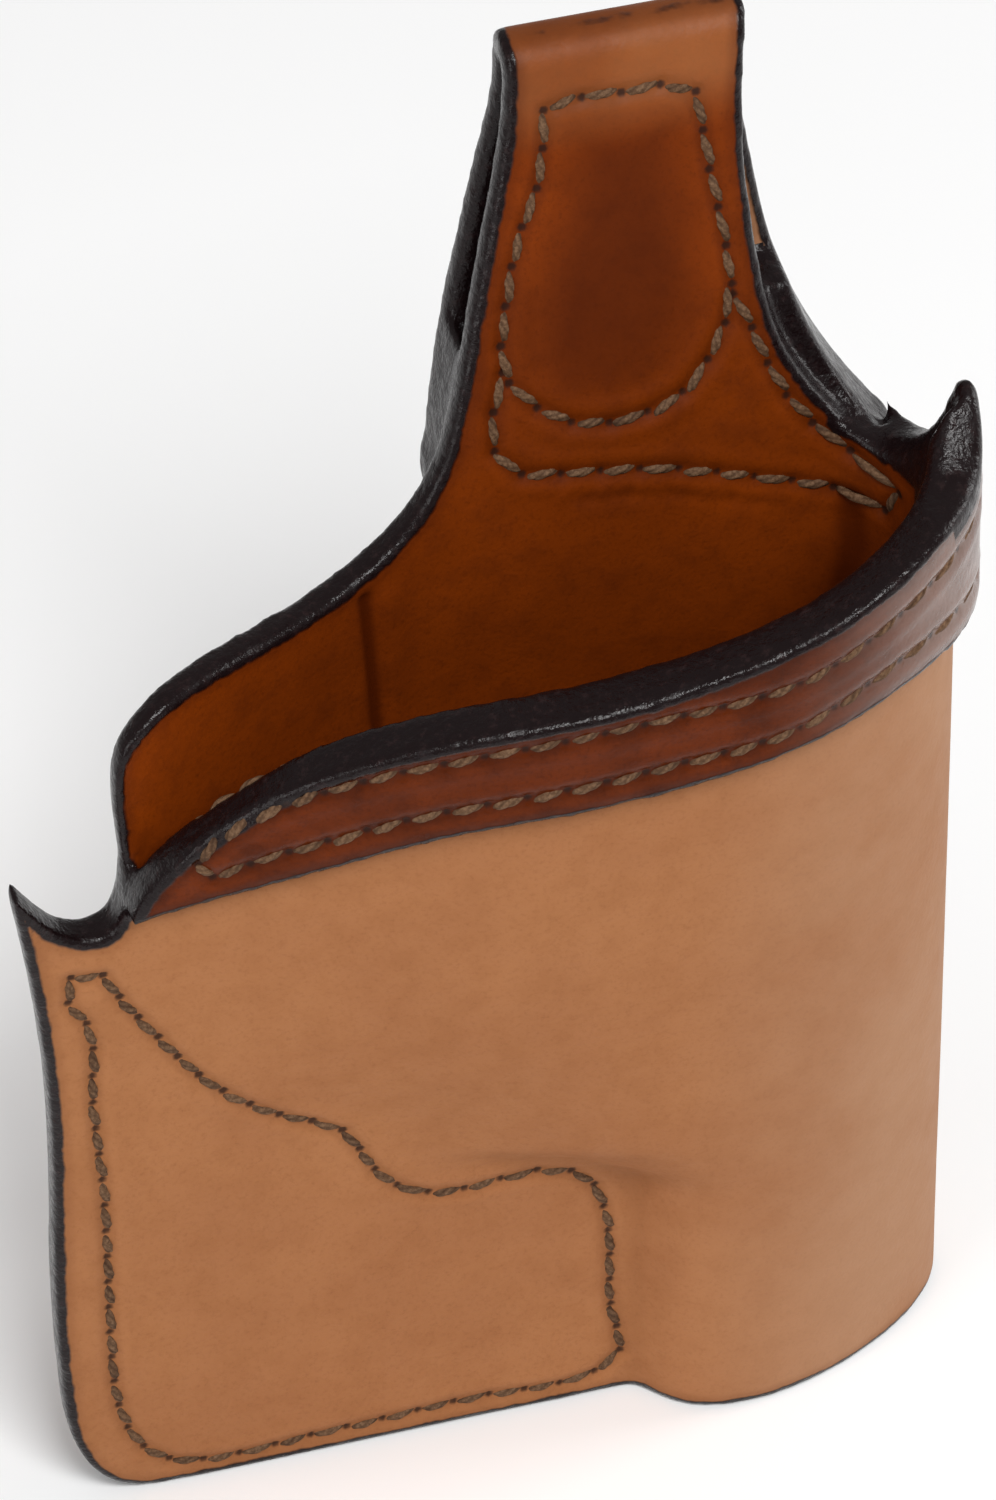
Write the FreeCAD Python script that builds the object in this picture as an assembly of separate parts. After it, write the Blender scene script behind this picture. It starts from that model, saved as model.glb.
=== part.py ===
import FreeCAD
import Part
import math
import os

V = FreeCAD.Vector

# Moulded leather belt case: one folded sheet, lined, with a banded mouth and a belt loop.
# X runs to the right, Y to the back, Z up. All dimensions in mm.

# ---- driving dimensions ----
BODY_T = 2.1            # outer leather, single layer
LINING_T = 1.3          # lining leather
BAND_T = 2.6            # reinforcing band round the mouth
PANEL_X = -53.0         # left edge of the sewn panel
FOLD_X = 53.4           # right-hand fold at the base
FOLD_TAPER = 0.02       # how much the fold draws in per mm of height
FOLD_Y = 7.0            # depth of the fold's furthest point
FRONT_MID = 27.0        # where the front begins to turn into the fold
BACK_MID = 38.0         # where the back begins to turn into the fold
ROUND_LOW = 1.6         # below 2 the front runs flatter into the fold: at the base
ROUND_HIGH = 1.82       # and from mid height up
TUBE_X = 14.3           # crease at the left of the lower tube
BACK_Y = 22.0           # outer face of the back panel below the bend
BULGE_LOW = 6.4         # front bulge ahead of the sewn panel, at the base
BULGE_HIGH = 9.4        # the same at the mouth
BEND_LOW = 104.0        # the back panel starts to lean here
BEND_HIGH = 130.0       # and leans fully from here
SHANK_LEAN = math.radians(19.0)
TAIL_LEAN = math.radians(10.0)
JOIN_Z = 142.0          # height where curved walls meet the straight loop
JOIN_LIP = 0.02          # the loop's end stands this proud of the tail it meets
LOOP_TOP_Z = 166.0      # centre of the top fold
LOOP_BORE_R = 0.6       # inner radius of the top fold
SLOT_BASE_Z = 136.0     # bottom of the belt slot
TAIL_GAP_LOW = 4.0      # spacer thickness at the bottom of the tail
TAIL_BOTTOM_Z = 114.0
THREAD_R = 0.42
STITCH = 4.2            # six stitches to the inch
LINING_RISE = 0.8       # the lining stops this far above the bottom edge
LOOP_T = BODY_T + LINING_T


def mix(a, b, k):
    return a + (b - a) * k


def ramp(z, low, high):
    k = min(1.0, max(0.0, (z - low) / (high - low)))
    return k * k * (3.0 - 2.0 * k)


# ---- the moulded shape, as functions of height ----

POCKET_LEFT = [(0, TUBE_X), (38, TUBE_X), (43, 4), (47, -12), (52, -17), (58, -24), (64, -33),
               (72, -39), (82, -44), (94, -47), (110, -50), (200, -50)]


def pocket_left(z):
    for (za, xa), (zb, xb) in zip(POCKET_LEFT, POCKET_LEFT[1:]):
        if z <= zb:
            return mix(xa, xb, (z - za) / float(zb - za))
    return POCKET_LEFT[-1][1]


def back_y(z):
    slope = math.tan(SHANK_LEAN)
    bend = BEND_HIGH - BEND_LOW
    if z <= BEND_LOW:
        return BACK_Y
    if z <= BEND_HIGH:
        return BACK_Y + slope * (z - BEND_LOW) ** 2 / (2.0 * bend)
    return BACK_Y + slope * (bend / 2.0 + z - BEND_HIGH)


def lean_stretch(z):
    k = min(1.0, max(0.0, (z - BEND_LOW) / (BEND_HIGH - BEND_LOW)))
    return math.sqrt(1.0 + (k * math.tan(SHANK_LEAN)) ** 2)


def bulge(z):
    return mix(BULGE_LOW, BULGE_HIGH, ramp(z, 20, 100))


def front_lift(t, z):
    hard = 1.0 - (1.0 - t) ** 3
    soft = 0.5 - 0.5 * math.cos(math.pi * min(1.0, t * 1.25))
    return mix(hard, soft, 0.85 * ramp(z, 34, 50))


def back_lift(t, z):
    hard = 1.0 - (1.0 - t) ** 3
    soft = math.sin(math.pi / 2.0 * min(1.0, t * 1.75)) ** 1.5
    return mix(hard, soft, ramp(z, 36, 60))


def wall_y(z, side, x, grow):
    """Depth of a wall face; side is -1 for the front, +1 for the back; grow moves it outwards."""
    left = pocket_left(z)
    if grow < -0.01:
        left += (1.0 - 0.8 * ramp(z, 34, 50)) * 1.0 + (3.0 if grow < -BODY_T - 0.1 else 0.0)
    base = max(0.0, BODY_T + grow)
    right = FOLD_X - FOLD_TAPER * z + grow
    if side < 0:
        depth = BODY_T + bulge(z) + grow
        if x <= FRONT_MID:
            t = min(1.0, max(0.0, (x - left) / (FRONT_MID - left)))
            return -(base + (depth - base) * front_lift(t, z))
        t = min(1.0, (x - FRONT_MID) / (right - FRONT_MID))
        power = mix(ROUND_LOW, ROUND_HIGH, ramp(z, 0, 50))
        return FOLD_Y - (FOLD_Y + depth) * (1.0 - t ** power) ** (1.0 / power)
    depth = back_y(z) + grow * lean_stretch(z)
    if x <= BACK_MID:
        t = min(1.0, max(0.0, (x - left) / (BACK_MID - left)))
        return base + (depth - base) * back_lift(t, z)
    t = min(1.0, (x - BACK_MID) / (right - BACK_MID))
    return FOLD_Y + (depth - FOLD_Y) * math.sqrt(1.0 - t * t)


def fold_points(z, grow):
    """Front quarter, then back quarter, of the right-hand fold."""
    right = FOLD_X - FOLD_TAPER * z + grow
    points = []
    for k in range(1, 9):
        a = math.pi / 2.0 * k / 9.0
        x = FRONT_MID + (right - FRONT_MID) * math.sin(a)
        points.append(V(x, wall_y(z, -1, x, grow), z))
    points.append(V(right, FOLD_Y, z))
    for k in range(8, 0, -1):
        a = math.pi / 2.0 * k / 9.0
        x = BACK_MID + (right - BACK_MID) * math.sin(a)
        points.append(V(x, wall_y(z, 1, x, grow), z))
    return points


OPEN_X = [-60, -54, -48, -42, -36, -30, -24, -18, -12, -7, -2, 2, 6, 9, 11.5, 13, 14.3, 15.6, 17,
          19, 22, FRONT_MID]
CUSP_T = [0.0, 0.02, 0.05, 0.09, 0.14, 0.2, 0.27, 0.35, 0.44, 0.54, 0.65, 0.76, 0.86, 0.93, 1.0]


def section(z, grow, cusped):
    if cusped:
        left = pocket_left(z) + (1.0 - 0.8 * ramp(z, 34, 50))
        left += 3.0 if grow < -BODY_T - 0.1 else 0.0
        front = [mix(left, FRONT_MID, t) for t in CUSP_T]
        back = [mix(left, BACK_MID, t) for t in CUSP_T]
    else:
        front = list(OPEN_X)
        back = OPEN_X + [34.0, BACK_MID]
    points = [V(x, wall_y(z, -1, x, grow), z) for x in front]
    points += fold_points(z, grow)
    points += [V(x, wall_y(z, 1, x, grow), z) for x in reversed(back)]
    return points


LEVELS = [0, 8, 16, 24, 30, 34, 37, 39, 41, 43, 45, 47, 49, 52, 55, 59, 64, 70, 77, 85, 93, 100,
          106, 112, 118, 124, 130, 136, JOIN_Z]


def clamped(count):
    """Knots and multiplicities of a clamped cubic with this many control points."""
    knots = list(range(count - 2))
    return knots, [4] + [1] * (count - 4) + [4]


def wrap_solid(grow, levels=LEVELS, cusped=False):
    """Closed solid inside one wrapped wall face."""
    rows = [section(z, grow(z) if callable(grow) else grow, cusped) for z in levels]
    surface = Part.BSplineSurface()
    u_knots, u_mults = clamped(len(rows))
    v_knots, v_mults = clamped(len(rows[0]))
    surface.buildFromPolesMultsKnots(rows, u_mults, v_mults, u_knots, v_knots, False, False, 3, 3)
    skin = surface.toShape()
    edges = sorted(skin.Edges, key=lambda e: e.BoundBox.ZLength)
    level_edges = sorted(edges[:2], key=lambda e: e.BoundBox.ZMin)
    faces = [skin]
    if cusped:
        for edge in level_edges:
            faces.append(Part.Face(Part.Wire([edge])))
    else:
        for edge, z in zip(level_edges, (levels[0], levels[-1])):
            ends = [v.Point for v in edge.Vertexes]
            faces.append(Part.Face(Part.Wire([edge, Part.makeLine(ends[1], ends[0])])))
        faces.append(Part.makeRuledSurface(edges[2], edges[3]))
    shell = Part.makeShell(faces)
    shell.sewShape()
    solid = Part.Solid(shell)
    if solid.Volume < 0:
        solid.reverse()
    return solid


# ---- cut outlines, seen from the front (x, z) ----

PEAK_X = 51.6           # the mouth's edge has reached the peak's height here
PEAK_Z = 141.0          # clear of the peak, which the side profile cuts
RIM_X = 42.0            # the side profile cuts everything to the right of this
LOOP_LEFT = 9.4         # sides of the belt loop at its top
LOOP_RIGHT = 36.3
CLEAR_Z = 185.0         # above everything
CLEAR_X = 64.0          # to the right of everything


def outline(runs, y_low=-60.0, y_high=90.0):
    """Prism through the depth; a run of two points is straight, a longer run is a smooth curve."""
    edges = []
    for run in runs:
        points = [V(x, y_low, z) for x, z in run]
        if len(points) == 2:
            edges.append(Part.makeLine(points[0], points[1]))
        else:
            curve = Part.BSplineCurve()
            curve.interpolate(points)
            edges.append(curve.toShape())
    return Part.Face(Part.Wire(edges)).extrude(V(0, y_high - y_low, 0))


def plan_prism(points):
    corners = [V(x, y, -5.0) for x, y in points]
    return Part.Face(Part.makePolygon(corners + [corners[0]])).extrude(V(0, 0, 220))


LEFT_EDGE = [(-43.0, 0), (-47.8, 2.2), (-51.2, 8), (-52.8, 20), (PANEL_X, 40), (-52.5, 56),
             (-52.7, 72), (-54.0, 88), (-55.4, 98.8)]
SCOOP = [(-54.8, 99.2), (-52.0, 94.8), (-49.2, 92.0), (-46.2, 91.2), (-43.6, 94.0)]
MOUTH = [(-43.6, 94.0), (-39.7, 102), (-35.5, 106.4), (-30, 111), (-24, 115), (-17, 118), (-8, 120.4),
         (5, 122), (18, 124.2), (27, 126.6), (35, 129.4), (43, 132.0), (46, 133.4), (48, 136),
         (PEAK_X, PEAK_Z)]
BACK_TOP = [(-43.6, 94.0), (-43.0, 103), (-43.2, 110), (-42.0, 114.6), (-37.6, 117.8), (-28, 117.8),
            (-18, 117.0), (-10.5, 118.8), (-5.2, 122.4), (-1.8, 127), (0.2, 132), (2.0, 138),
            (4.2, 146), (6.6, 154), (8.7, 162), (LOOP_LEFT, 170)]
VALLEY = [(LOOP_RIGHT, 170), (34.9, 161), (34.6, 151), (35.4, 141), (37.3, 133), (40.2, 128), (43.4, 124.6),
          (46.0, 123.6), (48.0, 125.6), (49.4, 129), (50.4, 134), (PEAK_X, PEAK_Z)]
SPLIT = [(-70, 0.0), (8, 0.0), (30, 4.5), (70, 7.6)]
FRONT_SIDE = plan_prism(SPLIT + [(70, -70), (-70, -70)])
BACK_SIDE = plan_prism(SPLIT + [(70, 110), (-70, 110)])


# The edge of the mouth round the right-hand fold, seen from the side (y, z).
RIM = [(-8, 132.6), (-2, 132.8), (1, 133.6), (3, 135.2), (5, 137.2), (7, 138.9), (8.8, 139.0),
       (9.8, 137.4), (10.8, 133.8), (12.4, 129.6), (14.4, 126.6), (17.5, 124.6), (20.5, 124.4),
       (23.5, 126.2), (25, 128)]


def above_rim():
    """Everything above the edge of the mouth at the right-hand fold."""
    curve = Part.BSplineCurve()
    curve.interpolate([V(RIM_X, y, z) for y, z in RIM])
    edges = [curve.toShape()]
    corners = [V(RIM_X, RIM[-1][0], RIM[-1][1]), V(RIM_X, RIM[-1][0], 160), V(RIM_X, RIM[0][0], 160),
               V(RIM_X, RIM[0][0], RIM[0][1])]
    edges += [Part.makeLine(a, b) for a, b in zip(corners, corners[1:])]
    return Part.Face(Part.Wire(edges)).extrude(V(30, 0, 0))


def front_cut():
    runs = [[(CLEAR_X, 0), LEFT_EDGE[0]], LEFT_EDGE, [LEFT_EDGE[-1], SCOOP[0]], SCOOP, MOUTH,
            [(PEAK_X, PEAK_Z), (CLEAR_X, PEAK_Z)], [(CLEAR_X, PEAK_Z), (CLEAR_X, 0)]]
    return outline(runs).common(FRONT_SIDE).cut(above_rim())


def back_cut():
    runs = [[(CLEAR_X, 0), LEFT_EDGE[0]], LEFT_EDGE, [LEFT_EDGE[-1], SCOOP[0]], SCOOP, BACK_TOP,
            [BACK_TOP[-1], (LOOP_LEFT, CLEAR_Z)], [(LOOP_LEFT, CLEAR_Z), (LOOP_RIGHT, CLEAR_Z)],
            [(LOOP_RIGHT, CLEAR_Z), VALLEY[0]], VALLEY,
            [(PEAK_X, PEAK_Z), (CLEAR_X, PEAK_Z)], [(CLEAR_X, PEAK_Z), (CLEAR_X, 0)]]
    return outline(runs).common(BACK_SIDE).cut(above_rim())


def tail_cut():
    left = [(LOOP_LEFT, 170), (9.2, 162), (6.8, 153), (4.4, 144), (2.3, 136), (0.4, 129), (-0.9, 123)]
    corner = [(-0.9, 123), (-1.8, 120.4), (-1.4, 117.8), (0.6, 116.8)]
    foot = [(0.6, 116.8), (14, 116.4), (30, 114.4), (44, 110.6), (56, 105.6)]
    right = [(56, 119), (50, 119.4), (46.4, 123), (44, 126.4), (41.8, 130.4), (39.1, 138), (37.3, 148),
             (36.0, 158), (LOOP_RIGHT, 170)]
    runs = [left, corner, foot, [foot[-1], right[0]], right, [right[-1], (LOOP_RIGHT, CLEAR_Z)],
            [(LOOP_RIGHT, CLEAR_Z), (LOOP_LEFT, CLEAR_Z)], [(LOOP_LEFT, CLEAR_Z), left[0]]]
    tail = outline(runs)
    return tail.common(plan_prism([(-70, 8), (44, 8), (50, 10.6), (50, 110), (-70, 110)]))


def loop_halves():
    """Cutting solids for the loop above the join: the shank in front, the tail behind."""
    y_join = back_y(JOIN_Z) + tail_gap(JOIN_Z) / 2.0
    y_top = back_y(LOOP_TOP_Z) + tail_gap(LOOP_TOP_Z) / 2.0
    side = [(y_join, JOIN_Z), (y_top, LOOP_TOP_Z), (y_top + 1.0, 190), (110, 190), (110, JOIN_Z)]
    corners = [V(-12, y, z) for y, z in side]
    behind = Part.Face(Part.makePolygon(corners + [corners[0]])).extrude(V(80, 0, 0))
    above = Part.makeBox(80, 200, 60, V(-12, -60, JOIN_Z))
    return back_cut().common(above).cut(behind), tail_cut().common(behind)


# ---- the belt loop ----

def tail_gap(z):
    """Clear depth between the back panel and the tail."""
    closing = math.tan(SHANK_LEAN) - math.tan(TAIL_LEAN)
    top = 2.0 * LOOP_BORE_R + 0.1
    if z >= SLOT_BASE_Z:
        return top + closing * (LOOP_TOP_Z - z)
    full = top + closing * (LOOP_TOP_Z - SLOT_BASE_Z)
    return mix(TAIL_GAP_LOW, full, ramp(z, TAIL_BOTTOM_Z - 12.0, SLOT_BASE_Z + 4.0))


def loop_ring(inner, outer):
    """Side profile of one layer of the loop above the join, extruded across the width.
    inner and outer are distances from the slot side of the leather."""
    ya = back_y(JOIN_Z)
    yb = ya + tail_gap(JOIN_Z)
    n1 = V(0, -math.cos(SHANK_LEAN), math.sin(SHANK_LEAN))
    n2 = V(0, math.cos(TAIL_LEAN), -math.sin(TAIL_LEAN))
    d1 = V(0, math.sin(SHANK_LEAN), math.cos(SHANK_LEAN))
    d2 = V(0, math.sin(TAIL_LEAN), math.cos(TAIL_LEAN))
    p1 = V(-12, ya, JOIN_Z) - n1 * LOOP_BORE_R
    p2 = V(-12, yb, JOIN_Z) - n2 * LOOP_BORE_R
    cross = d1.y * d2.z - d1.z * d2.y
    gap = p2 - p1
    centre = p1 + d1 * ((gap.y * d2.z - gap.z * d2.y) / cross)
    mid = (SHANK_LEAN + TAIL_LEAN) / 2.0
    top = V(0, math.sin(mid), math.cos(mid))
    ra = LOOP_BORE_R + inner
    rb = LOOP_BORE_R + outer
    a0 = V(-12, ya - outer / math.cos(SHANK_LEAN) - JOIN_LIP, JOIN_Z)
    a7 = V(-12, ya - inner / math.cos(SHANK_LEAN) + JOIN_LIP, JOIN_Z)
    a3 = V(-12, yb + outer / math.cos(TAIL_LEAN) + JOIN_LIP, JOIN_Z)
    a4 = V(-12, yb + inner / math.cos(TAIL_LEAN) - JOIN_LIP, JOIN_Z)
    over = Part.Arc(centre + n1 * rb, centre + top * rb, centre + n2 * rb).toShape()
    under = Part.Arc(centre + n2 * ra, centre + top * ra, centre + n1 * ra).toShape()
    edges = [Part.makeLine(a0, centre + n1 * rb), over, Part.makeLine(centre + n2 * rb, a3),
             Part.makeLine(a3, a4), Part.makeLine(a4, centre + n2 * ra), under,
             Part.makeLine(centre + n1 * ra, a7), Part.makeLine(a7, a0)]
    return Part.Face(Part.Wire(edges)).extrude(V(80, 0, 0))


TAIL_LEVELS = [100, 106, 112, 118, 124, 130, 136, JOIN_Z]


def tail_layer(inner, outer, cut):
    near = wrap_solid(lambda z: tail_gap(z) / lean_stretch(z) + inner, TAIL_LEVELS)
    far = wrap_solid(lambda z: tail_gap(z) / lean_stretch(z) + outer, TAIL_LEVELS)
    return far.cut(near).common(cut)


def spacer(cut):
    near = wrap_solid(0.0, TAIL_LEVELS)
    far = wrap_solid(lambda z: tail_gap(z) / lean_stretch(z), TAIL_LEVELS)
    rise = [(-20, 100), (-20, 137), (2, 137), (9, 133.2), (18, 130.6), (27, 132.4), (34, 138), (70, 138),
            (70, 100)]
    runs = [[rise[0], rise[1]], [rise[1], rise[2]], rise[2:7], [rise[6], rise[7]], [rise[7], rise[8]],
            [rise[8], rise[0]]]
    return far.cut(near).common(cut).common(outline(runs))


# ---- threads ----

def round_fold(x, z, side, given, grow):
    """Where a seam point given on one wall face comes through on another, round the fold."""
    middle = FRONT_MID if side < 0 else BACK_MID
    if x <= middle:
        return x
    right = FOLD_X - FOLD_TAPER * z
    return middle + (x - middle) * (right + grow - middle) / (right + given - middle)


def seam_path(points, side, given, grow, rise, closed):
    """Points along a seam, laid on a wall face; rise moves them off it along Y."""
    flat = Part.BSplineCurve()
    flat.interpolate([V(x, 0, z) for x, z in points], PeriodicFlag=closed)
    count = max(8, int(flat.length() / STITCH))
    spots = flat.discretize(Number=count + 1)
    if closed:
        spots = spots[:-1]
    path = []
    for p in spots:
        g = grow(p.z) / lean_stretch(p.z) if callable(grow) else grow
        x = p.x if given is None else round_fold(p.x, p.z, side, given, g)
        path.append(V(x, wall_y(p.z, side, x, g) + rise, p.z))
    return path


def thread(points, side, given, grow, rise, closed):
    """Four-sided cord along a seam, one length per stitch."""
    path = seam_path(points, side, given, grow, rise, closed)
    count = len(path)
    rings = []
    for k in range(count):
        before = path[(k - 1) % count] if closed else path[max(0, k - 1)]
        after = path[(k + 1) % count] if closed else path[min(count - 1, k + 1)]
        along = (after - before).normalize()
        across = along.cross(V(0, 1, 0)).normalize()
        up = across.cross(along)
        p = path[k]
        rings.append([p + across * THREAD_R, p + up * THREAD_R, p - across * THREAD_R, p - up * THREAD_R])
    faces = []
    pairs = list(zip(rings, rings[1:]))
    if closed:
        pairs.append((rings[-1], rings[0]))
    for ring, nxt in pairs:
        for k in range(4):
            m = (k + 1) % 4
            faces.append(Part.Face(Part.makePolygon([ring[k], ring[m], nxt[m], ring[k]])))
            faces.append(Part.Face(Part.makePolygon([ring[k], nxt[m], nxt[k], ring[k]])))
    if not closed:
        for ring in (rings[0], rings[-1]):
            faces.append(Part.Face(Part.makePolygon(ring + [ring[0]])))
    shell = Part.makeShell(faces)
    shell.sewShape()
    solid = Part.Solid(shell)
    if solid.Volume < 0:
        solid.reverse()
    return solid


MAIN_SEAM = [(-49.4, 86.0), (-47.4, 86.8), (-44.6, 82.6), (-40.8, 75.4), (-36.8, 68.4), (-31.4, 61.8),
             (-25, 56.8), (-20.4, 54.0), (-17.6, 49.0), (-14.4, 43.2), (-10, 40.2), (-3, 39.8), (4.6, 39.8),
             (8.4, 37.2), (10.4, 31.6), (11.2, 22.4), (11.8, 12), (12, 5.4), (9.4, 3.6), (-2, 3.4),
             (-14, 3.2), (-26, 2.8), (-36.4, 2.6), (-40.8, 4), (-44.8, 9), (-46.8, 19), (-47, 36),
             (-47.2, 56), (-47.6, 70), (-48.6, 80)]
BAND_SEAM = [(52.6, 116.6), (47.2, 118.2), (42.8, 118.6), (38.8, 118.2), (34, 116.9), (27.2, 114.4),
             (16.4, 113.1), (5.6, 112.1), (-4.8, 110.9), (-15, 108.9), (-25.2, 105.4), (-32.9, 102.3),
             (-36.4, 101.6), (-36.0, 104), (-34.4, 107), (-31.6, 109.8), (-25.1, 112.9), (-15, 116.2),
             (-4.8, 118.1), (5.6, 119.3), (16.3, 120), (27, 121), (33.2, 122.9), (39.9, 125.2),
             (46.8, 127), (52.4, 127.6)]
SHANK_SEAM = [(13.1, 163.6), (16, 164.2), (23.2, 164.0), (29.3, 163.3), (30.1, 158.5), (31.1, 149.5),
              (31.8, 143), (31.6, 139), (30.3, 136.4), (27.8, 132.7), (24.8, 130.2), (21.2, 129.1),
              (17, 128.7), (13.8, 129.3), (11.1, 130.5), (8.6, 132.7), (6.1, 136.4), (6.2, 139.8),
              (7.3, 144.7), (9.9, 152.3), (12.6, 160.6)]
SLOT_SEAM = [(7.5, 145), (8.6, 149), (10.2, 153.5), (12.6, 160.6), (13.4, 163.6), (18, 164.1),
             (23.2, 164.0), (29.1, 163.4), (30.3, 157.5), (31.3, 149), (31.7, 145)]
FLARE_SEAM = [(6.1, 136.4), (4.9, 133.2), (4.3, 130), (4.6, 127.2), (6.2, 125.2), (11, 123.9), (18, 123),
              (26, 121.4), (34, 118.6), (40, 116.7), (44, 115.6), (46.2, 116), (46.9, 118),
              (45.8, 120.2), (43.2, 121.4), (40.2, 123.6), (37.6, 126.8), (35.4, 131.2), (33.7, 136.2),
              (31.9, 140.2)]


def build():
    outer = wrap_solid(0.0)
    inner = wrap_solid(-BODY_T, cusped=True)
    pocket = wrap_solid(-LOOP_T, cusped=True)
    banded = wrap_solid(BAND_T)
    front = front_cut()
    back = back_cut()
    tail = tail_cut()
    loop_front, loop_behind = loop_halves()
    loop = loop_front.fuse(loop_behind)

    sheet = outer.cut(inner)
    body = sheet.common(front).fuse(sheet.common(back))
    body = body.fuse([loop_ring(0.0, BODY_T).common(loop), tail_layer(0.0, BODY_T, tail)])

    liner = inner.cut(pocket).cut(Part.makeBox(200, 200, LINING_RISE, V(-80, -80, 0)))
    lining = liner.common(front).fuse(liner.common(back))
    lining = lining.fuse([loop_ring(BODY_T, LOOP_T).common(loop), tail_layer(BODY_T, LOOP_T, tail)])

    strip = [[(-44.0, 94.6), (-40.8, 95.6)],
             [(-40.8, 95.6), (-35.6, 97.2), (-30.4, 98.8), (-20, 102.4), (-10, 105.6), (0.4, 107.2),
              (11, 108.3), (22, 109.8), (33, 112.4), (39, 113.6), (44.4, 113.8), (48, 113.2), (58, 110.2)],
             [(58, 110.2), (58, 150)], [(58, 150), (-60, 150)], [(-60, 150), (-44.0, 94.6)]]
    rind = banded.cut(outer)
    strip_cut = outline(strip)
    peak = outline([[(48, 106), (70, 106)], [(70, 106), (70, 150)], [(70, 150), (48, 150)],
                    [(48, 150), (48, 106)]])
    band = rind.common(front).common(strip_cut)
    band = band.fuse(rind.common(back).common(strip_cut).common(peak))

    face = -LOOP_T
    up = THREAD_R * 0.6

    def rear(z):
        return tail_gap(z) + LOOP_T * lean_stretch(z)

    parts = {
        "body": body,
        "lining": lining,
        "mouth_band": band,
        "belt_spacer": spacer(tail),
        "main_thread_face": thread(MAIN_SEAM, -1, 0.0, 0.0, -up, True),
        "main_thread_reverse": thread(MAIN_SEAM, 1, 0.0, 0.0, up, True),
        "band_thread_face": thread(BAND_SEAM, -1, BAND_T, BAND_T, -up, False),
        "band_thread_reverse": thread(BAND_SEAM, -1, BAND_T, face, up, False),
        "shank_thread_face": thread(SHANK_SEAM, 1, face, face, -up, True),
        "shank_thread_reverse": thread(SLOT_SEAM, 1, face, 0.0, up, False),
        "flare_thread_face": thread(FLARE_SEAM, 1, face, face, -up, False),
        "flare_thread_reverse": thread(FLARE_SEAM, 1, None, rear, up, False),
    }
    return parts


def export(parts):
    os.makedirs("parts", exist_ok=True)
    box = FreeCAD.BoundBox()
    for shape in parts.values():
        for point in shape.tessellate(0.1)[0]:
            box.add(point)
    shift = V(-box.Center.x, -box.Center.y, -box.ZMin)
    for name, shape in parts.items():
        placed = shape.copy()
        placed.translate(shift)
        if len(placed.Solids) == 1:
            placed = placed.Solids[0]
        placed.exportStep("parts/" + name + ".step")
        print(name, "solids", len(shape.Solids), "valid", shape.isValid(), "volume", round(shape.Volume, 1))
    print("box", box, "shift", shift)


export(build())
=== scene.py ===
import math
import bpy
import numpy as np
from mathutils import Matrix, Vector
from mathutils.bvhtree import BVHTree
from mathutils.kdtree import KDTree


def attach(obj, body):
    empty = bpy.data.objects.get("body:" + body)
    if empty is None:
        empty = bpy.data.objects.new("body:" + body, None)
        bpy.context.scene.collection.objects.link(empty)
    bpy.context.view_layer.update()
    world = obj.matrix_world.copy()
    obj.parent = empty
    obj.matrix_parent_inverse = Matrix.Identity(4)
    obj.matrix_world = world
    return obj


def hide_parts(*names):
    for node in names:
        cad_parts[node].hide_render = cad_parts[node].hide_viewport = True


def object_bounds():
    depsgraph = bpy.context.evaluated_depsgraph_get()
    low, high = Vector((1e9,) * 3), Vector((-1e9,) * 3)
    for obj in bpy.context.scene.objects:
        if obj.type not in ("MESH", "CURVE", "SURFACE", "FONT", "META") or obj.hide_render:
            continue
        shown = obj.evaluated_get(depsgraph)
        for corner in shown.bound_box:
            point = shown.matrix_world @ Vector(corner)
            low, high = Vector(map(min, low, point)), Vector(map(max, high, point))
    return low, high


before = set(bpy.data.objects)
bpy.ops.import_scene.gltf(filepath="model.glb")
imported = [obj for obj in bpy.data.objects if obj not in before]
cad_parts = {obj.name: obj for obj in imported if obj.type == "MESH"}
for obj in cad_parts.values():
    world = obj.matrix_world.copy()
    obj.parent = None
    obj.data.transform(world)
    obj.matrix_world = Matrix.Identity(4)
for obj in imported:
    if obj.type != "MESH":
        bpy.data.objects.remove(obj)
CAD_LOW, CAD_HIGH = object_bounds()

# All shape work below is in millimetres; meshes are written in metres.
MM = 0.001
VOXEL = 0.5             # size of the faces of the leather surface
ROUNDING = 14           # passes that round the slicked edges
LEATHER = ["body", "lining", "mouth_band", "belt_spacer"]
THREADS = ["main_thread", "band_thread", "shank_thread", "flare_thread"]
JOIN_Z = 142.0          # the walls meet the belt loop here, with no cut edge
TOP_Z = 165.0           # above this the loop's rounded top faces up
FLAT_EDGE = 4.5         # the right-hand fold faces right within this of the end, uncut
RIM_X = 42.8            # right of this and above RIM_Z the rim is cut from the side
RIM_Z = 122.0
PEAK_X = 47.5           # the peak at the right of the mouth
PEAK_Z = 126.0
SLOT_Z = 112.0          # the belt slot lies above this
SLOT_DEPTH = 9.0        # its facing walls are closer together than this
SLOT_SHADE = 7.0          # how far the dye colour reaches in from the edge there, as painted shade on the walls facing across the slot
SPACER_DYE = 5.0        # how far the dye runs in from the edge on the spacer
PEAK_DYE = 1.6          # and on the peak
BURNISH_REACH = 12.0    # the burnish deepens this far in from the arched seam
THREAD_GAP = 0.9        # vertices of one stitch hole are closer together than this
FAR = 99.0
MIDDLE_Z = 90.0         # the lamps point here
FLOOR_REACH = 3000.0

rng = np.random.default_rng(7)


# ---- mesh helpers ----

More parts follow.
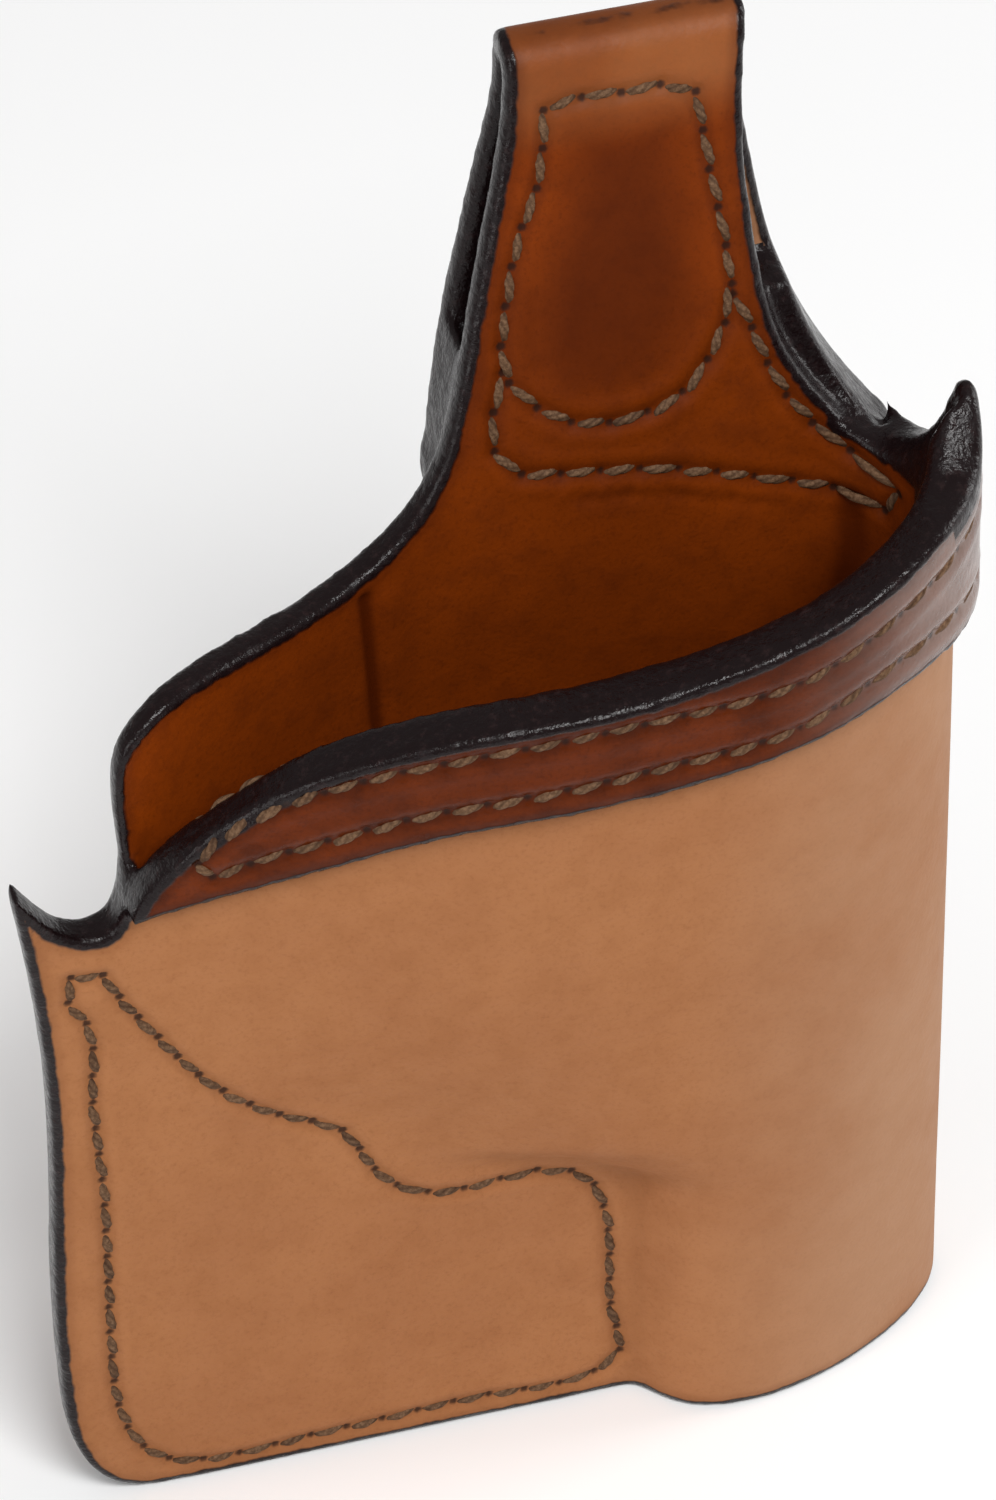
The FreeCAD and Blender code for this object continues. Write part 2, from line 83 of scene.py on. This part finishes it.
def node_mesh(name):
    """A CAD node's vertices in mm, welded, and its triangles."""
    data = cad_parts[name].data
    points = np.empty(len(data.vertices) * 3)
    data.vertices.foreach_get("co", points)
    points = points.reshape(-1, 3) / MM
    data.calc_loop_triangles()
    tris = np.empty(len(data.loop_triangles) * 3, dtype=np.int64)
    data.loop_triangles.foreach_get("vertices", tris)
    keys = np.round(points * 1000.0).astype(np.int64)
    _, first, index = np.unique(keys, axis=0, return_index=True, return_inverse=True)
    tris = index.reshape(-1)[tris].reshape(-1, 3)
    whole = (tris[:, 0] != tris[:, 1]) & (tris[:, 1] != tris[:, 2]) & (tris[:, 2] != tris[:, 0])
    return points[first], tris[whole]


def face_normals(points, tris):
    a, b, c = points[tris[:, 0]], points[tris[:, 1]], points[tris[:, 2]]
    normals = np.cross(b - a, c - a)
    length = np.linalg.norm(normals, axis=1, keepdims=True)
    return normals / np.maximum(length, 1e-12)


def tree_of(points, tris):
    return BVHTree.FromPolygons([Vector(p) for p in points], [tuple(int(i) for i in t) for t in tris])


def joined(meshes):
    points, tris, owner, base = [], [], [], 0
    for k, (p, t) in enumerate(meshes):
        points.append(p)
        tris.append(t + base)
        owner.append(np.full(len(t), k))
        base += len(p)
    return np.concatenate(points), np.concatenate(tris), np.concatenate(owner)


def make_mesh(name, points, faces):
    data = bpy.data.meshes.new(name)
    data.from_pydata([tuple(p * MM) for p in points], [], [tuple(int(i) for i in f) for f in faces])
    return data


def make_object(name, data):
    obj = bpy.data.objects.new(name, data)
    bpy.context.scene.collection.objects.link(obj)
    return obj


def read_points(data):
    points = np.empty(len(data.vertices) * 3)
    data.vertices.foreach_get("co", points)
    return points.reshape(-1, 3) / MM


def read_normals(data):
    normals = np.empty(len(data.vertices) * 3)
    data.vertex_normals.foreach_get("vector", normals)
    return normals.reshape(-1, 3)


def write_points(data, points):
    data.vertices.foreach_set("co", (points * MM).reshape(-1))
    data.update()


def distance_to_tree(tree, points, reach=6.0):
    result = np.full(len(points), reach)
    for k, p in enumerate(points):
        hit = tree.find_nearest(Vector(p), reach)
        if hit[0] is not None:
            result[k] = hit[3]
    return result


def distance_to_spots(spots, points, reach=6.0):
    tree = KDTree(len(spots))
    for k, p in enumerate(spots):
        tree.insert(Vector(p), k)
    tree.balance()
    low = spots.min(0) - reach
    high = spots.max(0) + reach
    near = np.nonzero(((points > low) & (points < high)).all(1))[0]
    result = np.full(len(points), reach)
    for k in near:
        result[k] = min(reach, tree.find(Vector(points[k]))[2])
    return result


def relaxed(points, edges, passes, strength=0.5):
    a, b = edges[:, 0], edges[:, 1]
    n = len(points)
    count = (np.bincount(a, minlength=n) + np.bincount(b, minlength=n))[:, None]
    points = points.copy()
    for _ in range(passes):
        total = np.stack([np.bincount(a, points[b, j], n) + np.bincount(b, points[a, j], n)
                          for j in range(3)], axis=1)
        points += (total / count - points) * strength
    return points


# ---- the seams, read from the thread nodes ----

def seam_holes(name):
    """Stitch holes of a seam in order, and whether the seam is closed."""
    points, tris = node_mesh(name)
    pairs = np.concatenate([tris[:, [0, 1]], tris[:, [1, 2]], tris[:, [2, 0]]])
    pairs = np.unique(np.sort(pairs, axis=1), axis=0)
    length = np.linalg.norm(points[pairs[:, 0]] - points[pairs[:, 1]], axis=1)
    group = np.arange(len(points))
    for a, b in pairs[length < THREAD_GAP]:
        low, high = sorted((group[a], group[b]))
        group[group == high] = low
    names = sorted(set(group))
    where = {g: k for k, g in enumerate(names)}
    centres = np.array([points[group == g].mean(0) for g in names])
    links = {k: set() for k in range(len(names))}
    for a, b in pairs[length >= THREAD_GAP]:
        i, j = where[group[a]], where[group[b]]
        if i != j:
            links[i].add(j)
            links[j].add(i)
    ends = [k for k in links if len(links[k]) == 1]
    order = [ends[0] if ends else 0]
    while True:
        onward = [k for k in sorted(links[order[-1]]) if k not in order]
        if not onward:
            break
        order.append(onward[0])
    return centres[order], not ends


def along_seam(holes, closed, step):
    loop = np.concatenate([holes, holes[:1]]) if closed else holes
    spots = []
    for a, b in zip(loop, loop[1:]):
        count = max(1, int(np.linalg.norm(b - a) / step))
        spots += [a + (b - a) * k / count for k in range(count)]
    spots.append(loop[-1])
    return np.array(spots)


# ---- one surface round all the leather ----

def leather_surface(meshes):
    points, tris, _ = joined(meshes)
    obj = make_object("surface_source", make_mesh("surface_source", points, tris))
    remesh = obj.modifiers.new("remesh", "REMESH")
    remesh.mode = "VOXEL"
    remesh.voxel_size = VOXEL * MM
    depsgraph = bpy.context.evaluated_depsgraph_get()
    data = bpy.data.meshes.new_from_object(obj.evaluated_get(depsgraph))
    source = obj.data
    bpy.data.objects.remove(obj)
    bpy.data.meshes.remove(source)
    return data


def cut_faces(points, tris):
    """Triangles on the cut edges of the leather, which all run straight through its depth."""
    normals = face_normals(points, tris)
    middle = points[tris].mean(1)
    cut = np.abs(normals[:, 1]) < 0.03
    cut &= ~((normals[:, 2] > 0.9) & (middle[:, 2] > TOP_Z))
    cut &= np.abs(middle[:, 2] - JOIN_Z) > 0.06
    at_fold = (normals[:, 0] > 0.6) & (np.abs(normals[:, 2]) < 0.2)
    cut &= ~(at_fold & (middle[:, 0] > CAD_HIGH[0] / MM - FLAT_EDGE))
    at_rim = (middle[:, 0] > RIM_X) & (middle[:, 2] > RIM_Z)
    cut |= at_rim & (np.abs(normals[:, 0]) < 0.02) & (normals[:, 2] > 0.05)
    return tris[cut]


meshes = {name: node_mesh(name) for name in LEATHER}
all_points, all_tris, owner = joined([meshes[n] for n in LEATHER])
surface = leather_surface([meshes[n] for n in LEATHER])
raw = read_points(surface)
edges = np.empty(len(surface.edges) * 2, dtype=np.int64)
surface.edges.foreach_get("vertices", edges)
edges = edges.reshape(-1, 2)
faces = [tuple(p.vertices) for p in surface.polygons]

whole_tree = tree_of(all_points, all_tris)
face_node = np.empty(len(faces), dtype=np.int64)
for k, polygon in enumerate(surface.polygons):
    face_node[k] = owner[whole_tree.find_nearest(polygon.center / MM)[2]]

smooth = relaxed(raw, edges, ROUNDING)
lowest = smooth[:, 2].min()
smooth[:, 2] -= lowest * np.exp(-smooth[:, 2] / 1.5)
write_points(surface, smooth)
normals = read_normals(surface)

seams = {}
for name in THREADS:
    for side in ("face", "reverse"):
        seams[name + "_" + side] = seam_holes(name + "_" + side)
seam_spots = np.concatenate([along_seam(h, c, 0.6) for h, c in seams.values()])
hole_spots = np.concatenate([h for h, c in seams.values()])
seam_distance = distance_to_spots(seam_spots, smooth)
hole_distance = distance_to_spots(hole_spots, smooth)

# How far each point sits in a hollow; the shader darkens the colour with it as painted shade.
hollow = ((relaxed(smooth, edges, 60) - smooth) * normals).sum(1)


def inside_outline(points, outline):
    """Which points lie inside a closed outline, both seen from the front."""
    inside = np.zeros(len(points), dtype=bool)
    for a, b in zip(outline, np.roll(outline, -1, axis=0)):
        crosses = (a[2] > points[:, 2]) != (b[2] > points[:, 2])
        run = (b[0] - a[0]) * (points[:, 2] - a[2]) / (b[2] - a[2] + 1e-9) + a[0]
        inside ^= crosses & (points[:, 0] < run)
    return inside


def near_line(points, line):
    """Distance across the front view from a line through the given (x, z) points."""
    best = np.full(len(points), FAR)
    for (xa, za), (xb, zb) in zip(line, line[1:]):
        run = np.array([xb - xa, zb - za])
        k = ((points[:, 0] - xa) * run[0] + (points[:, 2] - za) * run[1]) / (run @ run)
        k = np.clip(k, 0.0, 1.0)
        away = np.hypot(points[:, 0] - xa - k * run[0], points[:, 2] - za - k * run[1])
        best = np.minimum(best, away)
    return best


# The lining inside the arched seam is pressed and burnished darker than the rest.
arch_holes = seams["shank_thread_face"][0]
arch_spots = along_seam(arch_holes, True, 0.6)
inner_back = (normals[:, 1] < -0.2) & (smooth[:, 1] > -4.0)
burnish = distance_to_spots(arch_spots, smooth, BURNISH_REACH)
burnish[~(inside_outline(smooth, arch_holes) & inner_back)] = 0.0

# Creases left by moulding in the back of the pocket: line, depth, half width.
CREASES = [
    ([(-10.6, 115.0), (-10.2, 108.0), (-9.4, 92.0)], 0.75, 1.0),
    ([(-8.0, 114.0), (-7.6, 107.0), (-7.0, 92.0)], -0.35, 1.6),
    ([(43.6, 115.0), (44.0, 109.0), (43.0, 99.0)], 0.7, 1.6),
    ([(-39.6, 112.0), (-38.2, 106.0), (-37.0, 98.0)], 0.6, 1.2),
    ([(14.5, 120.2), (20.5, 119.6), (27.0, 118.0), (34.0, 115.6)], 0.16, 0.8),
]

WRINKLES = [(12.0, 120.9), (22.0, 119.9), (33.0, 116.6)]


def dent(distance, depth, half):
    """Depth of a round-bottomed groove at a distance from its middle."""
    return depth * np.exp(-(distance / half) ** 2)


sink = dent(seam_distance, 0.36, 0.9) - dent(seam_distance - 2.0, 0.10, 0.8)
sink += dent(hole_distance, 0.25, 0.8)
crease = np.zeros(len(smooth))
for line, depth, half in CREASES:
    crease += dent(near_line(smooth, line), depth, half) * inner_back
ripple = np.sin(smooth[:, 0] * 2.1 + 1.3 * np.sin(smooth[:, 2] * 0.9))
ripple *= np.sin(smooth[:, 0] * 0.83 + 0.6)
crease += ripple * dent(near_line(smooth, WRINKLES), 0.16, 0.9) * inner_back
sink += crease
shaped = smooth - normals * sink[:, None]
write_points(surface, shaped)
normals = read_normals(surface)


halves = [(f[0], f[1], f[2]) for f in faces]
halves += [(f[0], f[2], f[3]) for f in faces if len(f) == 4]
surface_tree = tree_of(shaped, halves)


def corners_of(wanted):
    """1 at the corners of the faces whose layer is wanted, 0 elsewhere."""
    marked = np.zeros(len(shaped))
    marked[np.unique(np.concatenate([np.array(f) for f, n in zip(faces, face_node) if wanted(n)]))] = 1.0
    return marked


def slot_walls():
    """1 where outer leather looks across the belt slot at the wall opposite, smoothed to 0 round it."""
    outside = corners_of(lambda layer: layer != LEATHER.index("lining")) > 0.0
    walls = np.zeros(len(shaped))
    for k in np.nonzero(outside & (shaped[:, 2] > SLOT_Z) & (np.abs(normals[:, 1]) > 0.3))[0]:
        way = Vector(normals[k])
        hit = surface_tree.ray_cast(Vector(shaped[k]) + way * 0.4, way, SLOT_DEPTH)
        walls[k] = 1.0 if hit[0] is not None else 0.0
    return relaxed(walls[:, None].repeat(3, axis=1), edges, 6)[:, 0]


# The dye runs further in from the edge on the spacer and on the peak; on the walls of the belt slot,
# where they face each other, the dye colour is carried further in as painted shade.
on_peak = (raw[:, 0] > PEAK_X) & (raw[:, 2] > PEAK_Z) & (raw[:, 1] < 0.0)
on_spacer = corners_of(lambda layer: layer == LEATHER.index("belt_spacer"))
dye_and_shade_reach = np.maximum(SLOT_SHADE * slot_walls(), SPACER_DYE * on_spacer) + PEAK_DYE * on_peak


def leather_piece(name, cut_from):
    """One layer's visible part of the surface, with what its material needs to know."""
    mine = np.nonzero(face_node == LEATHER.index(name))[0]
    used = np.unique(np.concatenate([np.array(faces[k]) for k in mine]))
    place = np.full(len(shaped), -1)
    place[used] = np.arange(len(used))
    data = make_mesh(name, shaped[used], [place[list(faces[k])] for k in mine])
    data.polygons.foreach_set("use_smooth", np.ones(len(mine), dtype=bool))
    data.normals_split_custom_set_from_vertices([tuple(v) for v in normals[used]])
    cut = [(meshes[n][0], cut_faces(*meshes[n])) for n in cut_from]
    cut_points, cut_tris, _ = joined(cut)
    fields = {
        "edge_mm": distance_to_tree(tree_of(cut_points, cut_tris), raw[used]) - dye_and_shade_reach[used],
        "hole_mm": hole_distance[used],
        "seam_mm": seam_distance[used],
        "hollow": hollow[used],
        "burnish_mm": burnish[used],
        "crease": crease[used],
    }
    for field, values in fields.items():
        layer = data.attributes.new(field, "FLOAT", "POINT")
        layer.data.foreach_set("value", values.astype(np.float32))
    piece = make_object("leather_" + name, data)
    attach(piece, "root")
    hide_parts(name)
    return piece


outer = leather_piece("body", ["body", "lining"])
lining = leather_piece("lining", ["lining", "body"])
band = leather_piece("mouth_band", ["mouth_band", "body"])
spacer = leather_piece("belt_spacer", ["belt_spacer"])


# ---- stitches ----

PLIES = 3
AROUND = 14             # points round a stitch
ALONG = 16              # and along it
INSET = 0.22            # a stitch dives this far short of its hole
SLANT = 0.34            # and starts this far to the side
TWIST = 5.2             # turn of the plies along a stitch, in radians


def stitch(start, end, up, tone):
    """One stitch of twisted cord, sunk into its hole at both ends; points, faces and their tones."""
    along = end - start
    length = np.linalg.norm(along)
    along /= length
    across = np.cross(along, up)
    across /= np.linalg.norm(across)
    points, tones = [], []
    turn = rng.uniform(0.0, 2.0 * math.pi)
    for k in range(ALONG):
        s = k / (ALONG - 1.0)
        arch = math.sin(math.pi * s) ** 0.6 if 0.0 < s < 1.0 else 0.0
        middle = start + along * (INSET + (length - 2.0 * INSET) * s)
        middle = middle + across * SLANT * (1.0 - 2.0 * s) + up * (-0.5 + 0.68 * arch)
        radius = 0.27 + 0.24 * arch
        for m in range(AROUND):
            angle = 2.0 * math.pi * m / AROUND
            ply = abs(math.cos(PLIES / 2.0 * (angle - turn - TWIST * s)))
            reach = radius * (0.8 + 0.24 * ply)
            sideways = across * reach * math.cos(angle) * 1.12
            upwards = up * reach * math.sin(angle) * 0.85
            points.append(middle + sideways + upwards)
            # Tone: each stitch's own random tone, with painted shade in the grooves between plies and
            # towards the ends where the stitch sinks into its hole.
            tones.append(tone * (0.6 + 0.4 * ply) * (0.5 + 0.5 * arch))
    rings = np.arange(ALONG * AROUND).reshape(ALONG, AROUND)
    quads = []
    for k in range(ALONG - 1):
        for m in range(AROUND):
            n = (m + 1) % AROUND
            quads.append((rings[k, m], rings[k, n], rings[k + 1, n], rings[k + 1, m]))
    quads.append(tuple(rings[0][::-1]))
    quads.append(tuple(rings[-1]))
    return points, quads, tones


def on_leather(spot):
    hit = surface_tree.find_nearest(Vector(spot))
    return np.array(hit[0]), np.array(hit[1])


def seam_piece(name, holes, closed):
    spots = [on_leather(h) for h in holes]
    if closed:
        spots.append(spots[0])
    points, quads, tones = [], [], []
    for (a, na), (b, nb) in zip(spots, spots[1:]):
        up = (na + nb) / np.linalg.norm(na + nb)
        p, q, t = stitch(a, b, up, rng.uniform(0.75, 1.0))
        quads += [tuple(int(i) + len(points) for i in f) for f in q]
        points += p
        tones += t
    data = make_mesh(name, points, quads)
    data.polygons.foreach_set("use_smooth", np.ones(len(quads), dtype=bool))
    layer = data.attributes.new("tone", "FLOAT", "POINT")
    layer.data.foreach_set("value", np.array(tones, dtype=np.float32))
    piece = make_object("stitches_" + name, data)
    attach(piece, "root")
    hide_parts(name)
    return piece


stitches = [seam_piece(name, holes, closed) for name, (holes, closed) in seams.items()]


# ---- materials ----

class Graph:
    """A short way to write a material's nodes."""

    def __init__(self, name):
        self.material = bpy.data.materials.new(name)
        self.material.use_nodes = True
        self.tree = self.material.node_tree
        self.shader = self.tree.nodes["Principled BSDF"]
        self.place = self.tree.nodes.new("ShaderNodeTexCoord").outputs["Object"]

    def link(self, value, socket):
        if isinstance(value, (int, float)):
            socket.default_value = value
        elif isinstance(value, tuple):
            socket.default_value = value + (1.0,) if len(socket.default_value) == 4 else value
        else:
            self.tree.links.new(value, socket)

    def noise(self, scale, detail=3.0, rough=0.55):
        node = self.tree.nodes.new("ShaderNodeTexNoise")
        self.link(self.place, node.inputs["Vector"])
        node.inputs["Scale"].default_value = scale
        node.inputs["Detail"].default_value = detail
        node.inputs["Roughness"].default_value = rough
        return node.outputs["Fac"]

    def cells(self, scale):
        node = self.tree.nodes.new("ShaderNodeTexVoronoi")
        node.feature = "DISTANCE_TO_EDGE"
        self.link(self.place, node.inputs["Vector"])
        node.inputs["Scale"].default_value = scale
        return node.outputs["Distance"]

    def position(self, axis):
        node = self.tree.nodes.new("ShaderNodeSeparateXYZ")
        self.link(self.place, node.inputs["Vector"])
        return node.outputs[axis]

    def field(self, name):
        node = self.tree.nodes.new("ShaderNodeAttribute")
        node.attribute_name = name
        return node.outputs["Fac"]

    def math(self, kind, a, b=0.0, c=0.0):
        node = self.tree.nodes.new("ShaderNodeMath")
        node.operation = kind
        for value, socket in zip((a, b, c), node.inputs):
            self.link(value, socket)
        return node.outputs["Value"]

    def span(self, value, low, high, to_low=0.0, to_high=1.0):
        node = self.tree.nodes.new("ShaderNodeMapRange")
        node.interpolation_type = "SMOOTHSTEP"
        for v, key in zip((value, low, high, to_low, to_high),
                          ("Value", "From Min", "From Max", "To Min", "To Max")):
            self.link(v, node.inputs[key])
        return node.outputs["Result"]

    def blend(self, amount, a, b):
        """Mix of two plain values."""
        node = self.tree.nodes.new("ShaderNodeMix")
        for value, socket in zip((amount, a, b), (node.inputs[0], node.inputs[2], node.inputs[3])):
            self.link(value, socket)
        return node.outputs[0]

    def mix(self, amount, a, b):
        """Mix of two colours."""
        node = self.tree.nodes.new("ShaderNodeMix")
        node.data_type = "RGBA"
        self.link(amount, node.inputs["Factor"])
        self.link(a, node.inputs[6])
        self.link(b, node.inputs[7])
        return node.outputs[2]

    def bump(self, height, strength, distance, after=None):
        node = self.tree.nodes.new("ShaderNodeBump")
        node.inputs["Strength"].default_value = strength
        node.inputs["Distance"].default_value = distance
        self.link(height, node.inputs["Height"])
        if after is not None:
            self.link(after, node.inputs["Normal"])
        return node.outputs["Normal"]


def leather(name, light, mid, dark, rough, gloss, grain, blotch, painted_sheen=None):
    """Oiled leather; the last argument is (axis, low, high in m, colour there, gloss there) of an end
    where a lighter sheen is painted into the colour.
    """
    g = Graph(name)
    broad = g.noise(38.0, 4.0)
    mottle = g.noise(260.0, 4.0, 0.6)
    fine = g.noise(1900.0, 3.0, 0.7)
    pores = g.cells(760.0)
    colour = g.mix(g.span(broad, 0.35, 0.65), mid, light)
    colour = g.mix(g.span(mottle, 0.4, 0.75, 0.0, blotch), colour, dark)
    colour = g.mix(g.span(fine, 0.45, 0.8, 0.0, 0.38), colour, dark)
    # Painted shade: darker in the hollows.
    colour = g.mix(g.span(g.field("hollow"), 0.03, 0.4, 0.0, 0.4), colour, dark)
    colour = g.mix(g.span(g.field("seam_mm"), 1.6, 0.5, 0.0, 0.35), colour, dark)
    # Painted shade: darker along the moulding creases and wrinkles.
    colour = g.mix(g.span(g.field("crease"), 0.05, 0.7, 0.0, 0.75), colour, dark)
    colour = g.mix(g.span(g.field("burnish_mm"), 0.3, 8.0, 0.0, 0.62), colour, dark)
    # Painted sheen: the colour is lifted towards a paler, greyer tone along one end in place of a
    # highlight, and the gloss there is raised as well.
    if painted_sheen:
        axis, low, high, sheen_colour, sheen_gloss = painted_sheen
        patchy = g.span(broad, 0.3, 0.6, 0.55, 1.0)
        sheen_amount = g.math("MULTIPLY", g.span(g.position(axis), low, high), patchy)
        colour = g.mix(g.math("MULTIPLY", sheen_amount, 0.6), colour, sheen_colour)
        gloss = g.span(sheen_amount, 0.0, 1.0, gloss, sheen_gloss)
    wobble = g.math("MULTIPLY", g.math("SUBTRACT", g.noise(420.0, 2.0), 0.5), 0.9)
    edge = g.math("ADD", g.field("edge_mm"), wobble)
    # Real edge dye, and on the belt slot's facing walls painted shade in the same dark colour; the stain
    # beside it spreads over those walls too.
    dyed_and_shaded = g.span(edge, 1.35, 0.9)
    stain_and_slot_shade = g.span(edge, 2.8, 1.2, 0.0, 0.4)
    rubbed_dye = g.span(g.noise(900.0, 4.0, 0.7), 0.5, 0.75, 0.0, 0.8)
    dye = g.mix(rubbed_dye, (0.007, 0.0032, 0.0035), (0.022, 0.011, 0.011))
    colour = g.mix(stain_and_slot_shade, colour, dark)
    colour = g.mix(dyed_and_shaded, colour, dye)
    # Painted shadow: the colour goes near black round each stitch hole.
    hole = g.span(g.field("hole_mm"), 0.75, 0.4, 0.0, 0.9)
    colour = g.mix(hole, colour, (0.02, 0.008, 0.005))
    g.link(colour, g.shader.inputs["Base Color"])
    roughness = g.span(mottle, 0.3, 0.7, rough - 0.06, rough + 0.06)
    slick = g.span(g.noise(700.0, 3.0, 0.7), 0.35, 0.7, 0.17, 0.36)
    g.link(g.blend(dyed_and_shaded, roughness, slick), g.shader.inputs["Roughness"])
    g.link(g.span(dyed_and_shaded, 0.0, 1.0, gloss, 0.2), g.shader.inputs["Specular IOR Level"])
    pitted = g.math("MULTIPLY", g.span(pores, 0.0, 0.25), 0.35)
    height = g.math("ADD", pitted, g.math("MULTIPLY", fine, 0.7))
    normal = g.bump(height, grain, 0.00012)
    lumps = g.math("MULTIPLY", g.noise(520.0, 4.0, 0.7), dyed_and_shaded)
    normal = g.bump(lumps, 0.6, 0.00035, normal)
    normal = g.bump(mottle, 0.25, 0.0004, normal)
    g.link(normal, g.shader.inputs["Normal"])
    return g.material


def cord_material():
    g = Graph("waxed_thread")
    tone = g.field("tone")
    fibre = g.noise(2600.0, 4.0, 0.7)
    colour = g.mix(g.span(fibre, 0.35, 0.7), (0.085, 0.042, 0.02), (0.185, 0.105, 0.058))
    # Low tone goes near black: painted shade between the plies and at the stitch ends, over each
    # stitch's own tone.
    colour = g.mix(g.span(tone, 0.3, 0.85), (0.035, 0.015, 0.007), colour)
    g.link(colour, g.shader.inputs["Base Color"])
    g.link(0.75, g.shader.inputs["Roughness"])
    g.link(0.15, g.shader.inputs["Specular IOR Level"])
    g.link(g.bump(fibre, 0.6, 0.0001), g.shader.inputs["Normal"])
    return g.material


def dress(piece, material):
    piece.data.materials.clear()
    piece.data.materials.append(material)


# Painted sheen: the tan turns paler and greyer down the right-hand fold, where light glances off it.
tan = leather("outer_leather", (0.358, 0.146, 0.056), (0.328, 0.13, 0.05), (0.2, 0.07, 0.022),
              rough=0.68, gloss=0.13, grain=0.35, blotch=0.16,
              painted_sheen=("X", 0.014, 0.046, (0.4, 0.23, 0.135), 0.2))
# Painted highlight: the lining is lighter along the top of the loop's fold.
russet = leather("lining_leather", (0.19, 0.031, 0.0015), (0.15, 0.024, 0.0011), (0.055, 0.0075, 0.0004),
                 rough=0.5, gloss=0.07, grain=0.22, blotch=0.3,
                 painted_sheen=("Z", 0.158, 0.166, (0.32, 0.11, 0.03), 0.2))
# Painted reflection: the band turns grey at its right end, where it mirrors the pale floor.
chestnut = leather("band_leather", (0.125, 0.022, 0.0035), (0.085, 0.015, 0.0028),
                   (0.024, 0.0045, 0.0016),
                   rough=0.22, gloss=0.06, grain=0.3, blotch=0.45,
                   painted_sheen=("X", 0.022, 0.05, (0.2, 0.13, 0.1), 0.6))
dress(outer, tan)
dress(spacer, tan)
dress(lining, russet)
dress(band, chestnut)
cord = cord_material()
for piece in stitches:
    dress(piece, cord)


# ---- floor, light and camera ----

def plain(name, colour, rough):
    g = Graph(name)
    tone = g.span(g.noise(3.0), 0.3, 0.7, 0.97, 1.0)
    g.link(g.mix(tone, (colour * 0.98,) * 3, (colour,) * 3), g.shader.inputs["Base Color"])
    g.link(rough, g.shader.inputs["Roughness"])
    return g.material


def floor():
    signs = [(-1, -1, 0), (1, -1, 0), (1, 1, 0), (-1, 1, 0)]
    corners = np.array(signs) * FLOOR_REACH
    obj = make_object("floor", make_mesh("floor", corners, [(0, 1, 2, 3)]))
    dress(obj, plain("floor_paper", 0.93, 0.9))


def soft_light(name, place, size, power):
    lamp = bpy.data.lights.new(name, "AREA")
    lamp.shape = "RECTANGLE"
    lamp.size, lamp.size_y = size
    lamp.energy = power
    obj = make_object(name, lamp)
    obj.location = place
    aim = Vector((0.0, 0.0, MIDDLE_Z * MM)) - Vector(place)
    obj.rotation_euler = aim.to_track_quat("-Z", "Y").to_euler()


floor()
soft_light("key", (0.1, -0.85, 1.4), (0.6, 0.5), 18.0)
soft_light("window_left", (-1.3, -0.7, 0.7), (0.8, 0.8), 7.0)
soft_light("window_right", (1.4, 0.1, 0.6), (0.5, 0.9), 9.0)
world = bpy.data.worlds.new("studio")
world.use_nodes = True
world.node_tree.nodes["Background"].inputs["Color"].default_value = (1.0, 1.0, 1.0, 1.0)
world.node_tree.nodes["Background"].inputs["Strength"].default_value = 0.33
bpy.context.scene.world = world

TARGET = Vector((-0.63, -14.42, 106.0)) * MM
AZIMUTH = math.radians(-15.5)
ELEVATION = math.radians(45.0)
DISTANCE = 0.9
camera_data = bpy.data.cameras.new("camera")
camera_data.sensor_fit = "VERTICAL"
camera_data.sensor_height = 24.0
camera_data.lens = 135.2
camera = make_object("camera", camera_data)
away = Vector((math.sin(AZIMUTH) * math.cos(ELEVATION), -math.cos(AZIMUTH) * math.cos(ELEVATION),
               math.sin(ELEVATION)))
camera.location = TARGET + away * DISTANCE
camera.rotation_euler = (-away).to_track_quat("-Z", "Y").to_euler()
bpy.context.scene.camera = camera
bpy.context.scene.view_settings.view_transform = "Standard"
